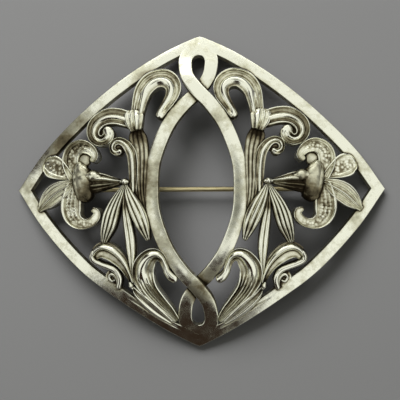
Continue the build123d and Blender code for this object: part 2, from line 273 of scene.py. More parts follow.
def overFace(values, points, rest):
    # one value for every point: the face's own, ring by ring, and rest for backs and ends
    around = len(points) // len(values)
    wide = np.pad(values, ((0, 0), (0, around - values.shape[1])), constant_values=rest)
    return np.pad(wide.ravel(), (0, len(points) - wide.size), constant_values=rest)


def wornAndShadedShape(points, quads, fans, relief, pebbled=0.0, dull=0.0):
    # a closed shape, with what its wear and painted shade come from at each point: its height
    # over the sheet, which is no number off the face, how strongly it is pebbled, and its own tarnish
    pebbled = np.broadcast_to(pebbled, relief.shape)
    return {
        "points": points, "quads": quads, "fans": fans, "relief": overFace(relief, points, np.nan),
        "stipple": overFace(pebbled, points, 0.0), "dull": np.full(len(points), dull),
    }


# The pebbling of a petal at its middle, how fast it falls off across, where it sets in after
# the root, as shares of the petal's length, and over what share it fades where a tip is smooth.
pebbling = {"middle": 1.7, "fall": 2.2, "rootFrom": 0.10, "rootTo": 0.30, "fade": 0.14}


def ribbon(strand, side):
    # a closed ribbon swept along its line, with a rounded nose at either end: its face is
    # the cross-section times the lift, its back follows the underside of the sheet
    scale = (
        side * sheet["halfWide"], sheet["halfHigh"], ornament["ribbon"] / 2, ornament["relief"]
    )
    line = smoothLine(np.array(strand["rows"]) * scale, ornament["stepAlong"])
    route, half, lift = line[:, :2], line[:, 2], line[:, 3]
    ahead = headings(route)
    nose = np.linspace(0, math.pi / 2, ornament["noseSteps"] + 1)[1:-1]
    reach = np.sin(nose)[:, None] * strand.get("nose", 1.0)
    start, end = half[0] * reach[::-1], half[-1] * reach
    centre = np.vstack([route[0] - ahead[0] * start, route, route[-1] + ahead[-1] * end])
    narrowing = np.concatenate([np.cos(nose)[::-1], np.ones(len(line)), np.cos(nose)])
    index = np.clip(np.arange(len(centre)) - len(nose), 0, len(line) - 1)
    half, lift = half[index] * narrowing, lift[index] * narrowing ** ornament["noseLift"]
    turn = strand.get("turn", 1) * side
    inward = rightOf(ahead[index]) * turn
    # the points across are closer together near both edges
    bunching = ornament["bunching"]
    even, angles = np.linspace(-1, 1, strand["across"]), np.linspace(0, math.pi, strand["across"])
    u = even * (1 - bunching) - np.cos(angles) * bunching
    share = np.linspace(0, 1, len(centre))[:, None]
    relief = sections[strand["section"]](u[None], share) * lift[:, None]
    face = onSheet(besideLine(centre, inward, half, u), relief)
    backU = np.linspace(ornament["backReach"], -ornament["backReach"], ornament["backPoints"])
    back = underSheet(besideLine(centre, inward, half, backU), strand["back"])
    points, quads, fans = closeRings(np.concatenate([face, back], axis=1))
    if turn < 0:
        quads, fans = quads[:, ::-1], fans[:, ::-1]
    # the pebbles lie on the middle of a petal, clear of its edges, its root and a smooth tip
    pebbled = np.clip(pebbling["middle"] - pebbling["fall"] * np.abs(u), 0, 1)
    pebbled = pebbled * ease(share, pebbling["rootFrom"], pebbling["rootTo"])
    smoothFrom = strand.get("smoothFrom", 1.0)
    pebbled = pebbled * (1 - ease(share, smoothFrom, smoothFrom + pebbling["fade"]))
    pebbled = pebbled * strand.get("stipple", 0.0)
    return wornAndShadedShape(points, quads, fans, relief, pebbled, strand.get("dull", 0.0))


# The foliage of the right-hand side. Each row's place across and up is a share of the half
# width and half height, its breadth a share of the ribbon, its lift one of the relief.
# Turn is -1 for a line that curls anticlockwise. Back is how deep its underside lies in the
# sheet, a share of the thickness, across how many points its face has, and nose how long the
# rounded ends are, as a share of half the breadth. Stipple is how strongly it is pebbled,
# smoothFrom where along it the pebbles end, and dull its tarnish.
foliage = {
    "upperTrunk": {
        "section": "trunk", "back": 0.80, "across": 41, "dull": 0.34, "rows": [
            (0.322, 0.370, 0.80, 0.26),
            (0.318, 0.331, 1.16, 0.34),
            (0.310, 0.290, 1.24, 0.38),
            (0.302, 0.245, 1.18, 0.42),
            (0.297, 0.190, 1.10, 0.48),
            (0.295, 0.117, 0.98, 0.50),
            (0.295, 0.040, 0.88, 0.48),
            (0.291, -0.040, 0.76, 0.40),
            (0.279, -0.120, 0.62, 0.30),
            (0.263, -0.200, 0.42, 0.18),
        ],
    },
    "acanthus": {
        "section": "acanthus", "turn": -1, "back": 0.95, "across": 53, "rows": [
            (0.124, -0.815, 0.50, 0.30),
            (0.156, -0.768, 0.76, 0.42),
            (0.194, -0.722, 0.98, 0.55),
            (0.250, -0.640, 1.20, 0.72),
            (0.280, -0.568, 1.44, 0.86),
            (0.285, -0.510, 1.46, 0.94),
            (0.268, -0.463, 1.32, 1.00),
            (0.241, -0.429, 1.10, 1.00),
            (0.211, -0.420, 0.84, 0.90),
            (0.184, -0.438, 0.60, 0.78),
            (0.167, -0.482, 0.46, 0.66),
            (0.158, -0.518, 0.48, 0.64),
            (0.138, -0.552, 0.56, 0.70),
            (0.122, -0.566, 0.54, 0.70),
        ],
    },
    "lowerLeaf": {
        "section": "twin", "back": 0.82, "across": 31, "rows": [
            (0.340, -0.622, 0.30, 0.60),
            (0.316, -0.664, 0.62, 0.50),
            (0.266, -0.720, 0.84, 0.44),
            (0.212, -0.776, 0.76, 0.36),
            (0.152, -0.834, 0.40, 0.22),
        ],
    },
    "bud": {
        "section": "round", "back": 0.86, "across": 19, "rows": [
            (0.345, -0.620, 0.26, 0.80),
            (0.351, -0.606, 0.36, 1.00),
            (0.355, -0.592, 0.26, 0.80),
        ],
    },
    "hook": {
        "section": "hook", "turn": -1, "back": 0.96, "across": 49, "nose": 0.6, "rows": [
            (0.322, 0.462, 0.84, 0.36),
            (0.316, 0.512, 0.92, 0.54),
            (0.307, 0.565, 1.04, 0.62),
            (0.292, 0.622, 1.16, 0.68),
            (0.262, 0.670, 1.24, 0.72),
            (0.222, 0.697, 1.22, 0.76),
            (0.180, 0.699, 1.24, 0.76),
            (0.146, 0.676, 1.16, 0.74),
            (0.128, 0.633, 1.06, 0.70),
            (0.134, 0.583, 0.92, 0.66),
            (0.154, 0.538, 0.76, 0.64),
            (0.173, 0.503, 0.66, 0.66),
            (0.188, 0.474, 0.64, 0.70),
            (0.198, 0.450, 0.56, 0.70),
        ],
    },
    "outwardScroll": {
        "section": "scroll", "back": 0.93, "across": 49, "nose": 0.8, "dull": 0.20, "rows": [
            (0.338, 0.412, 0.90, 0.34),
            (0.379, 0.436, 1.06, 0.54),
            (0.427, 0.453, 1.12, 0.64),
            (0.477, 0.455, 1.14, 0.66),
            (0.523, 0.434, 1.06, 0.66),
            (0.553, 0.397, 1.00, 0.64),
            (0.560, 0.352, 0.90, 0.62),
            (0.545, 0.315, 0.78, 0.62),
            (0.515, 0.299, 0.74, 0.66),
            (0.486, 0.311, 0.80, 0.74),
            (0.474, 0.338, 0.84, 0.80),
            (0.479, 0.364, 0.70, 0.76),
        ],
    },
    "scrollFloor": {
        "section": "dish", "back": 0.74, "across": 17, "dull": 0.30, "rows": [
            (0.500, 0.350, 0.86, 0.06),
            (0.516, 0.352, 1.00, 0.06),
        ],
    },
    "smallCurl": {
        "section": "curl", "back": 0.90, "across": 37, "nose": 0.7, "rows": [
            (0.331, -0.020, 0.44, 0.46),
            (0.331, 0.060, 0.62, 0.60),
            (0.332, 0.115, 0.68, 0.66),
            (0.335, 0.165, 0.72, 0.68),
            (0.344, 0.217, 0.72, 0.68),
            (0.365, 0.259, 0.64, 0.66),
            (0.389, 0.286, 0.53, 0.62),
            (0.415, 0.297, 0.46, 0.62),
            (0.440, 0.287, 0.42, 0.62),
            (0.451, 0.259, 0.38, 0.62),
            (0.444, 0.232, 0.38, 0.64),
            (0.424, 0.220, 0.42, 0.66),
            (0.407, 0.228, 0.38, 0.66),
        ],
    },
    "curlFloor": {
        "section": "dish", "back": 0.72, "across": 17, "dull": 0.30, "rows": [
            (0.402, 0.250, 0.56, 0.05),
            (0.416, 0.254, 0.66, 0.05),
        ],
    },
    "cup": {
        "section": "cup", "back": 0.86, "across": 49, "nose": 0.3, "rows": [
            (0.340, 0.480, 1.16, 0.52),
            (0.340, 0.456, 1.34, 0.70),
            (0.336, 0.424, 1.26, 0.82),
            (0.329, 0.390, 1.02, 0.90),
            (0.324, 0.366, 0.80, 0.90),
        ],
    },
    "knot": {
        "section": "round", "back": 0.72, "across": 25, "dull": 0.10, "rows": [
            (0.366, 0.036, 0.30, 0.76),
            (0.374, 0.037, 0.46, 0.96),
            (0.384, 0.038, 0.46, 0.96),
            (0.394, 0.038, 0.30, 0.74),
        ],
    },
    "trumpet": {
        "section": "trumpet", "back": 0.72, "across": 41, "nose": 0.8, "dull": 0.12, "rows": [
            (0.388, 0.038, 0.24, 0.62),
            (0.404, 0.038, 0.36, 0.64),
            (0.424, 0.037, 0.54, 0.72),
            (0.448, 0.037, 0.74, 0.80),
            (0.484, 0.038, 1.06, 0.92),
            (0.526, 0.038, 1.34, 1.00),
            (0.563, 0.037, 1.54, 1.02),
            (0.589, 0.036, 1.60, 0.96),
        ],
    },
    "bulb": {
        "section": "round", "back": 0.70, "across": 25, "dull": 0.26, "rows": [
            (0.520, 0.068, 0.44, 0.96),
            (0.537, 0.072, 0.74, 1.20),
            (0.555, 0.075, 0.84, 1.26),
            (0.573, 0.076, 0.60, 1.10),
        ],
    },
    "bell": {
        "section": "bell", "back": 0.70, "across": 61, "nose": 0.20, "dull": 0.40, "rows": [
            (0.570, 0.056, 1.54, 0.88),
            (0.580, 0.053, 2.18, 1.12),
            (0.597, 0.047, 2.68, 1.24),
            (0.616, 0.042, 2.84, 1.20),
            (0.632, 0.038, 2.76, 1.04),
            (0.642, 0.036, 2.62, 0.90),
        ],
    },
    "topPetal": {
        "section": "petal", "turn": -1, "back": 0.94, "across": 45, "smoothFrom": 0.66, "stipple": 1.0,
        "rows": [
            (0.668, 0.092, 0.96, 0.46),
            (0.683, 0.150, 1.10, 0.58),
            (0.683, 0.200, 1.12, 0.72),
            (0.662, 0.243, 1.06, 0.82),
            (0.622, 0.264, 0.94, 0.88),
            (0.582, 0.252, 0.78, 0.86),
            (0.554, 0.224, 0.62, 0.78),
            (0.544, 0.198, 0.52, 0.72),
            (0.554, 0.180, 0.42, 0.68),
        ],
    },
    "petalHollow": {
        "section": "dish", "back": 0.66, "across": 25, "dull": 0.10, "rows": [
            (0.640, 0.120, 0.70, 0.40),
            (0.622, 0.186, 1.10, 0.44),
            (0.596, 0.222, 0.70, 0.36),
        ],
    },
    "ovalPetal": {
        "section": "oval", "back": 0.90, "across": 49, "nose": 0.55, "stipple": 1.0, "rows": [
            (0.672, 0.068, 0.36, 0.44),
            (0.704, 0.092, 0.80, 0.52),
            (0.738, 0.114, 1.26, 0.60),
            (0.772, 0.136, 1.54, 0.66),
            (0.797, 0.150, 1.50, 0.66),
            (0.813, 0.159, 1.20, 0.58),
        ],
    },
    "pointedPetal": {
        "section": "folded", "back": 0.88, "across": 49, "stipple": 0.2, "rows": [
            (0.668, 0.034, 0.44, 0.44),
            (0.702, 0.016, 0.88, 0.54),
            (0.738, -0.006, 1.24, 0.64),
            (0.776, -0.034, 1.38, 0.72),
            (0.810, -0.068, 1.22, 0.70),
            (0.838, -0.098, 0.84, 0.58),
            (0.858, -0.122, 0.40, 0.44),
        ],
    },
    "bottomPetal": {
        "section": "ribbed", "back": 0.92, "across": 45, "smoothFrom": 0.66, "stipple": 0.8, "rows": [
            (0.670, -0.010, 1.20, 0.50),
            (0.677, -0.070, 1.40, 0.62),
            (0.678, -0.124, 1.42, 0.72),
            (0.668, -0.172, 1.24, 0.80),
            (0.644, -0.206, 0.98, 0.84),
            (0.612, -0.222, 0.76, 0.82),
            (0.579, -0.219, 0.66, 0.78),
            (0.550, -0.202, 0.64, 0.76),
            (0.532, -0.174, 0.60, 0.76),
            (0.533, -0.148, 0.50, 0.74),
            (0.549, -0.136, 0.36, 0.70),
        ],
    },
    "innerLeaf": {
        "section": "leaf", "back": 0.84, "across": 45, "rows": [
            (0.370, 0.010, 0.26, 0.60),
            (0.352, -0.045, 0.66, 0.82),
            (0.326, -0.112, 0.98, 0.96),
            (0.303, -0.172, 1.04, 1.00),
            (0.282, -0.236, 0.92, 0.92),
            (0.266, -0.288, 0.62, 0.76),
            (0.259, -0.312, 0.42, 0.60),
        ],
    },
    "outerLeaf": {
        "section": "leafWide", "back": 0.80, "across": 53, "rows": [
            (0.384, 0.010, 0.26, 0.60),
            (0.408, -0.045, 0.64, 0.82),
            (0.434, -0.108, 0.94, 0.96),
            (0.453, -0.170, 1.12, 1.00),
            (0.470, -0.238, 1.08, 0.94),
            (0.485, -0.292, 0.80, 0.80),
            (0.492, -0.320, 0.56, 0.64),
        ],
    },
    "stem": {
        "section": "stem", "back": 0.76, "across": 33, "rows": [
            (0.378, -0.020, 0.30, 0.40),
            (0.378, -0.113, 0.44, 0.48),
            (0.370, -0.187, 0.60, 0.58),
            (0.361, -0.255, 0.70, 0.64),
            (0.353, -0.330, 0.72, 0.66),
            (0.348, -0.400, 0.62, 0.66),
            (0.347, -0.460, 0.44, 0.62),
            (0.347, -0.520, 0.28, 0.56),
        ],
    },
    "outerArch": {
        "section": "arch", "back": 0.91, "across": 45, "nose": 0.5, "rows": [
            (0.346, -0.584, 0.32, 0.80),
            (0.366, -0.527, 0.52, 0.82),
            (0.392, -0.475, 0.74, 0.86),
            (0.425, -0.432, 0.94, 0.92),
            (0.465, -0.398, 1.06, 0.96),
            (0.502, -0.386, 1.04, 0.96),
            (0.531, -0.398, 0.88, 0.90),
            (0.546, -0.418, 0.66, 0.78),
        ],
    },
    "archReturn": {
        "section": "round", "back": 0.89, "across": 25, "rows": [
            (0.558, -0.402, 0.34, 0.86),
            (0.566, -0.430, 0.38, 0.78),
            (0.554, -0.456, 0.38, 0.66),
            (0.518, -0.477, 0.38, 0.58),
            (0.479, -0.494, 0.38, 0.54),
            (0.443, -0.513, 0.38, 0.54),
            (0.421, -0.546, 0.38, 0.54),
            (0.416, -0.581, 0.38, 0.52),
            (0.424, -0.617, 0.34, 0.48),
        ],
    },
    "archVolute": {
        "section": "round", "back": 0.87, "across": 19, "dull": 0.14, "rows": [
            (0.430, -0.618, 0.18, 0.30),
            (0.430, -0.580, 0.20, 0.34),
            (0.444, -0.548, 0.22, 0.36),
            (0.466, -0.540, 0.22, 0.36),
            (0.476, -0.562, 0.20, 0.34),
            (0.462, -0.584, 0.18, 0.32),
            (0.448, -0.578, 0.14, 0.28),
        ],
    },
    "voluteFloor": {
        "section": "dish", "back": 0.70, "across": 21, "stipple": 1.0, "dull": 0.06, "rows": [
            (0.438, -0.606, 0.84, 0.16),
            (0.458, -0.560, 1.00, 0.16),
        ],
    },
}


def acrossFace(nearEdge, evenCount):
    # places from -1 to 1 across a flat face: even in the middle, closer at its rounded edges
    side = 1 - np.array(nearEdge)
    return np.concatenate([-side[:-1], np.linspace(-side[-1], side[-1], evenCount), side[-2::-1]])


def edgeDrop(u, flat):
    # how far a face has dropped at u, a quarter round: 0 on its flat share, 1 at its edges
    past = np.clip((np.abs(u) - flat) / (1 - flat), 0, 1)
    return 1 - np.sqrt(1 - past**2)


# LipBelow and lipBeside are where the lip sets in, millimetres below and beside the middle;
# levelWithin is how far from the middle the rim lies level, under the loops.
rim = {
    "width": 2.3, "crown": 0.05, "flat": 0.92, "edge": 0.12, "stepAlong": 0.2,
    "lip": 0.12, "lipPlace": 0.88, "groove": 0.7, "groovePlace": 0.68,
    "lipBelow": (21.0, 23.5), "lipBeside": (3.0, 5.0), "levelWithin": (3.0, 4.6),
    "nearEdge": (0.0, 0.01, 0.04, 0.09, 0.16), "evenCount": 19, "backPoints": 3,
}
# Where a side of the outline changes its curve, as shares of the half width and half height.
upperSide = [
    (0.0, 0.995), (0.05, 0.972), (0.21, 0.875), (0.43, 0.699), (0.64, 0.491), (0.85, 0.240),
    (1.0, 0.0),
]
lowerSide = [
    (0.0, 1.0), (0.05, 0.974), (0.21, 0.872), (0.43, 0.705), (0.64, 0.519), (0.85, 0.252),
    (1.0, 0.0),
]


def rimSide(rows):
    # the outer and inner edge of one side, from the top tip to the right-hand tip: the inner
    # one lies the rim's width away and is carried on straight to the two axes
    outer = smoothLine(np.array(rows) * (sheet["halfWide"], sheet["halfHigh"]), rim["stepAlong"])
    moved = outer + rim["width"] * rightOf(headings(outer))
    kept = moved[(moved > 0).all(axis=1)]
    (x0, y0), (x1, y1) = kept[:2]
    (x2, y2), (x3, y3) = kept[-2:]
    onUpright = [0.0, y0 - x0 * (y1 - y0) / (x1 - x0)]
    onLevel = [x3 - y3 * (x3 - x2) / (y3 - y2), 0.0]
    return outer, evenLine(np.vstack([onUpright, kept, onLevel]), len(outer))


def rimLoop():
    # a flat closed loop: a slightly crowned face, a groove and a raised inner lip
    quarters = []
    for rows, across, up in (
        (upperSide, 1, 1), (upperSide, -1, 1), (lowerSide, -1, -1), (lowerSide, 1, -1)
    ):
        outer, inner = rimSide(rows)
        quarter = np.stack([outer, inner], axis=1) * (across, up)
        quarters.append(quarter[:0:-1] if across == up else quarter[:-1])
    edges = np.vstack(quarters)
    # v goes from 0 on the outer edge to 1 on the inner one
    u = acrossFace(rim["nearEdge"], rim["evenCount"])
    v, backV = (u + 1) / 2, np.linspace(1, 0, rim["backPoints"])
    plan, backPlan = (
        edges[:, :1] * (1 - share[None, :, None]) + edges[:, 1:] * share[None, :, None]
        for share in (v, backV)
    )
    # the groove and lip by the inner edge show near the foot alone
    lip = hump(v, rim["lipPlace"], 0.12, 0.5) - rim["groove"] * hump(v, rim["groovePlace"], 0.12, 0.08)
    lipped = ease(-plan[..., 1], *rim["lipBelow"]) * ease(np.abs(plan[..., 0]), *rim["lipBeside"])
    # it lies level, with no rounding on its inner edge, where the loops run into it
    level = 1 - ease(np.abs(plan[..., 0]), *rim["levelWithin"])
    relief = rim["crown"] * (1 - u**2) * (1 - level)
    relief = relief - rim["edge"] * edgeDrop(u, rim["flat"]) * (1 - (u > 0) * level)
    relief = relief + rim["lip"] * lip * lipped
    rings = np.concatenate([onSheet(plan, relief), underSheet(backPlan, 1.0)], axis=1)
    return wornAndShadedShape(*closeLoop(rings), relief)


# Crossing is how far up and down the two ways cross, crossingReach over how many widths one
# lifts there, flushFrom and flushTo where they sink, all shares of the half height but the
# reach. Backs are how deep the undersides of the ways down and up lie in the sheet.
bands = {
    "width": 2.7, "rise": 0.34, "crown": 0.12, "flat": 0.86, "edge": 0.16, "overlap": 0.55,
    "crossing": 0.617, "crossingReach": 1.6, "flushFrom": 0.68, "flushTo": 0.89,
    "stepAlong": 0.16, "nearEdge": (0.0, 0.01, 0.03, 0.06, 0.10), "evenCount": 21,
    "backReach": 0.96, "backs": (0.97, 0.99),
}
# A quarter of the interlaced line, from the top of the upper eye down to the brooch's middle,
# as shares of the half width and half height.
bandRows = [
    (0.000, 0.905), (-0.042, 0.890), (-0.067, 0.846), (-0.070, 0.788), (-0.053, 0.704),
    (0.000, 0.617), (0.070, 0.532), (0.140, 0.420), (0.191, 0.292), (0.227, 0.150),
    (0.235, 0.000),
]


def bandLoop():
    # one endless ribbon: down one side, round the lower eye, up the other, round the upper
    down = bandRows + [(across, -up) for across, up in bandRows[-2::-1]]
    rows = np.array(down + [(-across, up) for across, up in down[-2:0:-1]])
    wrapped = np.vstack([rows[-3:], rows, rows[:3]]) * (sheet["halfWide"], sheet["halfHigh"])
    line = smoothLine(wrapped, bands["stepAlong"])
    # the overlapping start and end are cut where the loop first closes on itself
    middle = len(line) // 2
    first = np.argmin(np.hypot(*(line - wrapped[3]).T)[:middle])
    last = middle + np.argmin(np.hypot(*(line - wrapped[-3]).T)[middle:])
    line = line[first:last]
    outward = rightOf(headings(np.vstack([line[-1:], line, line[:1]]))[1:-1])
    goingDown = np.arange(len(line)) < len(line) / 2
    way = np.where(goingDown, 1, -1)
    # each way rises over the other at one crossing and dips under it at the next, as a bell
    # curve, and the loops sink flush into the rim at the top and the foot
    reach = bands["crossingReach"] * bands["width"]
    crossing = bands["crossing"] * sheet["halfHigh"]
    atTop = np.exp(-(((line[:, 1] - crossing) / reach) ** 2))
    atFoot = np.exp(-(((line[:, 1] + crossing) / reach) ** 2))
    flush = ease(np.abs(line[:, 1]) / sheet["halfHigh"], bands["flushFrom"], bands["flushTo"])
    rise = bands["rise"] * (1 - flush) + way * bands["overlap"] * (atTop - atFoot)
    u = acrossFace(bands["nearEdge"], bands["evenCount"])
    outer = way[:, None] * np.where(line[:, 1] > 0, 1, -1)[:, None] * u > 0
    softened = np.where(outer, 1 - flush[:, None], 1)
    relief = rise[:, None] + bands["crown"] * (1 - u**2) * (1 - flush[:, None])
    relief = relief - bands["edge"] * edgeDrop(u, bands["flat"]) * softened
    half = np.full(len(line), bands["width"] / 2)
    face = onSheet(besideLine(line, outward, half, u), relief)
    backU = np.linspace(bands["backReach"], -bands["backReach"], ornament["backPoints"])
    depth = np.where(goingDown, *bands["backs"])[:, None]
    back = underSheet(besideLine(line, outward, half, backU), depth)
    return wornAndShadedShape(*closeLoop(np.concatenate([face, back], axis=1)), relief)


pinLow, pinHigh = (np.array(corner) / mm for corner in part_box("pin_stem"))
rivetLow, rivetHigh = (np.array(corner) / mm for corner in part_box("hinge_rivet"))
hinge = {
    "across": (rivetLow[0] + rivetHigh[0]) / 2,
    "height": (rivetLow[2] + rivetHigh[2]) / 2,
    "earRadius": (pinHigh[2] - pinLow[2]) / 2,
    "earInner": pinHigh[1] + 0.12,  # clear of the knuckle
    "earOuter": rivetHigh[1] - 0.04,  # the rivet's ends stand proud
    "noseTurn": 86, "nosePoints": 12,
}
catch = {
    "across": -hinge["across"], "length": 2.4, "wall": 0.6, "room": 0.6,
    "height": hinge["height"], "roofPoints": 13,
}


def underside(across):
    # the height of the middle of the sheet over one place on the pin's line
    return onSheet(np.array([[across, 0.0]]), 0.0)[0, 2] - sheet["thickness"] / 2


def bar(outer, inner, ends):
    # a bar whose section lies between two matched lines, carried straight between its ends
    profile = np.vstack([outer, inner[::-1]])
    rings = np.stack([profile + end for end in ends])
    count, number = len(outer), np.arange(2 * rings.shape[1]).reshape(2, -1)
    beside = np.roll(number, -1, axis=1)
    walls = np.stack([number[0], beside[0], beside[1], number[1]], axis=-1)
    forth, back = number[:, :count], number[:, :count - 1:-1]
    caps = np.stack([forth[:, :-1], back[:, :-1], back[:, 1:], forth[:, 1:]], axis=-1)
    quads = np.vstack([walls, caps[0], caps[1][:, ::-1]])
    noFace = np.full(rings.shape[:2], np.nan)
    return wornAndShadedShape(rings.reshape(-1, 3), quads, np.zeros((0, 3), int), noFace)


def hingeEar(side):
    # a plate with a round nose, hanging from the sheet beside the pin's knuckle
    radius, top = hinge["earRadius"], underside(hinge["across"])
    angles = np.radians(np.linspace(0, hinge["noseTurn"], hinge["nosePoints"]))
    drop = np.concatenate([[top], hinge["height"] - radius * np.sin(angles)])
    reach = np.concatenate([[radius], radius * np.cos(angles)])
    left = np.stack([hinge["across"] - reach, 0 * reach, drop], axis=-1)
    right = np.stack([hinge["across"] + reach, 0 * reach, drop], axis=-1)
    places = sorted([side * hinge["earInner"], side * hinge["earOuter"]])
    return bar(left, right, [np.array([0, place, 0]) for place in places])


def catchTrough():
    # a trough open downwards, its roof rounded over the pin: each point of the roof's line is
    # matched to one of the square block round it, four times as far out, up to its sides
    room, side, top = catch["room"], catch["room"] + catch["wall"], underside(catch["across"])
    foot = catch["height"] - room
    angles = np.radians(np.linspace(180, 0, catch["roofPoints"]))
    roofY = np.concatenate([[-room], room * np.cos(angles), [room]])
    roofZ = np.concatenate([[foot], catch["height"] + room * np.sin(angles), [foot]])
    outerY = np.clip(roofY * 4, -side, side)
    outerZ = np.full(len(roofZ), top)
    outerZ[[0, -1]] = foot
    inner = np.stack([0 * roofY, roofY, roofZ], axis=-1)
    outer = np.stack([0 * outerY, outerY, outerZ], axis=-1)
    ends = [np.array([catch["across"] + way * catch["length"] / 2, 0, 0]) for way in (1, -1)]
    return bar(outer, inner, ends)


def joined(parts):
    # one piece from several closed shapes: their points in turn, their faces' numbers moved on
    starts = np.cumsum([0] + [len(part["points"]) for part in parts])
    whole = {
        name: np.concatenate([part[name] for part in parts])
        for name in ("points", "relief", "stipple", "dull")
    }
    for name in ("quads", "fans"):
        whole[name] = np.vstack([part[name] + start for part, start in zip(parts, starts)])
    return whole


pieces = {
    "rim": rimLoop(),
    "interlaced_bands": bandLoop(),
    "foliage_right": joined([ribbon(strand, 1) for strand in foliage.values()]),
    "foliage_left": joined([ribbon(strand, -1) for strand in foliage.values()]),
    "hinge_ears": joined([hingeEar(-1), hingeEar(1)]),
    "pin_catch": catchTrough(),
}
print("surfaces:", {name: len(piece["points"]) for name, piece in pieces.items()})


# Sizes in millimetres, for the recesses' tarnish and painted shade. Fine and broad are how far
# round a point its relief is compared, and their depths what makes a hollow full; rubbed is
# the brightest a ridge gets, underside the tarnish of all that is no face.
hollows = {
    "cell": 0.12, "margin": 4.0, "fine": 0.20, "broad": 0.85, "fineDepth": 0.20,
    "broadDepth": 0.80, "rubbed": -0.22, "underside": 0.34,
}
# Dark spots: place across and up, radius in millimetres, and how much darker the middle is. Many are
# painted shade and two a painted reflection, as marked; the rest are darker patches.
stainsAndPaintedShade = [
    # painted shade under the cups
    (11.7, 10.8, 1.9, 0.55), (-11.7, 10.8, 1.9, 0.55),  # under the cups
    # painted shade on the undersides of each lily's trumpet and bell, and on the bottom petal beneath
    # the bell
    (22.5, -1.5, 2.7, 0.58), (18.0, 0.1, 1.5, 0.50), (20.1, -0.1, 1.7, 0.54),  # right lily
    (25.8, -3.5, 1.7, 0.20),
    (-22.5, -1.5, 2.5, 0.50), (-18.0, 0.1, 1.5, 0.40), (-20.1, -0.1, 1.7, 0.44),  # left lily
    # darker towards the leaf tips; the spots between the leaves and at the stem's head are painted shade
    (10.7, -8.5, 1.8, 0.42), (17.7, -8.9, 2.3, 0.46),  # tips of the right leaves
    (16.0, -5.4, 1.3, 0.34), (14.4, -3.8, 1.1, 0.56),  # between them and at the stem's head
    (-10.7, -8.5, 1.8, 0.34), (-17.7, -8.9, 2.3, 0.37),  # tips of the left leaves
    (-16.0, -5.4, 1.3, 0.27), (-14.4, -3.8, 1.1, 0.45),
    # painted shade on the lower parts of the sprays' feet
    (9.4, -18.6, 2.6, 0.30), (11.7, -19.7, 1.8, 0.30), (-13.0, -16.4, 1.8, 0.40),  # feet of the sprays
    # on the rim the first two are a painted dark reflection on the upper left, the rest darker patches
    (-27.9, 9.5, 2.8, 0.66), (-24.1, 13.9, 2.0, 0.30), (-35.3, 0.3, 2.6, 0.22),  # rim
    (-11.8, 22.8, 2.2, 0.26), (31.3, -6.0, 1.6, 0.34), (33.0, 4.2, 1.5, 0.30),
    (24.6, -14.6, 2.0, 0.16),
    # on the bands the third is painted shade where the loops cross at the foot, the rest darker patches
    (5.1, 14.6, 3.0, 0.26), (-4.3, 13.9, 3.0, 0.24), (0.6, -19.5, 2.8, 0.66),  # bands
    (-8.4, 0.6, 5.0, 0.42), (8.7, 1.0, 4.5, 0.18), (-5.6, -11.5, 3.5, 0.22),
]


def blurred(grid, spread):
    # a soft blur whose weights fall off as a bell curve of the given spread: each frequency
    # of the grid times e to the power of minus twice the square of pi, the spread and it
    cells = spread / hollows["cell"]
    down, across = np.fft.fftfreq(grid.shape[0])[:, None], np.fft.rfftfreq(grid.shape[1])[None]
    fall = np.exp(-2 * (math.pi * cells) ** 2 * (down**2 + across**2))
    return np.fft.irfft2(np.fft.rfft2(grid) * fall, s=grid.shape)


def addTarnishAndShade(pieces):
    # how far each point lies below the mean relief round it, near by and further off: 0 on the
    # ridges that cloth has rubbed bright, 1 in the recesses, whose darkening is their tarnish
    # together with painted shade
    reach = np.array([sheet["halfWide"], sheet["halfHigh"]]) + hollows["margin"]
    shape = tuple((2 * reach / hollows["cell"]).astype(int) + 1)
    tallest = np.full(shape, -np.inf)
    cells = {}
    for name, piece in pieces.items():
        cell = ((piece["points"][:, :2] + reach) / hollows["cell"]).round().astype(int)
        cells[name] = np.clip(cell, 0, np.array(shape) - 1)
        top = ~np.isnan(piece["relief"])
        np.maximum.at(tallest, tuple(cells[name][top].T), piece["relief"][top])
    filled = np.isfinite(tallest)
    level = np.where(filled, tallest, 0.0)
    means = {}
    for name in ("fine", "broad"):
        weight = np.maximum(blurred(filled.astype(float), hollows[name]), 1e-3)
        means[name] = blurred(level, hollows[name]) / weight
    for name, piece in pieces.items():
        place = tuple(cells[name].T)
        own = np.nan_to_num(piece["relief"], nan=0.0)
        fine = (means["fine"][place] - own) / hollows["fineDepth"]
        broad = (means["broad"][place] - own) / hollows["broadDepth"]
        hollow = np.clip((fine + broad) / 2, hollows["rubbed"], 1) + piece["dull"]
        # the dark spots listed above deepen it further; many of them are painted shade and two a painted
        # reflection
        for across, up, radius, depth in stainsAndPaintedShade:
            away = np.hypot(piece["points"][:, 0] - across, piece["points"][:, 1] - up)
            hollow = hollow + depth * np.exp(-((away / radius) ** 2))
        piece["hollow"] = np.where(np.isnan(piece["relief"]), hollows["underside"], hollow)


addTarnishAndShade(pieces)


def makeMesh(name, piece):
    # a smooth-shaded mesh with its two maps kept as attributes: tarnish with painted shade, and pebbling
    mesh = bpy.data.meshes.new(name)
    faces = piece["quads"].tolist() + piece["fans"].tolist()
    mesh.from_pydata((piece["points"] * mm).tolist(), [], faces)
    for layerName in ("hollow", "stipple"):
        layer = mesh.attributes.new(layerName, "FLOAT", "POINT")
        layer.data.foreach_set("value", piece[layerName].astype(np.float32))
    mesh.shade_smooth()
    mesh.set_sharp_from_angle(angle=math.radians(ornament["sharpFrom"]))
    mesh.update()
    made = bpy.data.objects.new(name, mesh)
    bpy.context.scene.collection.objects.link(made)
    return made


def linear(hexColour):
    # an sRGB hex colour as linear red, green, blue and alpha
    shares = [int(hexColour[place:place + 2], 16) / 255 for place in (1, 3, 5)]
    return [s / 12.92 if s <= 0.04045 else ((s + 0.055) / 1.055) ** 2.4 for s in shares] + [1.0]


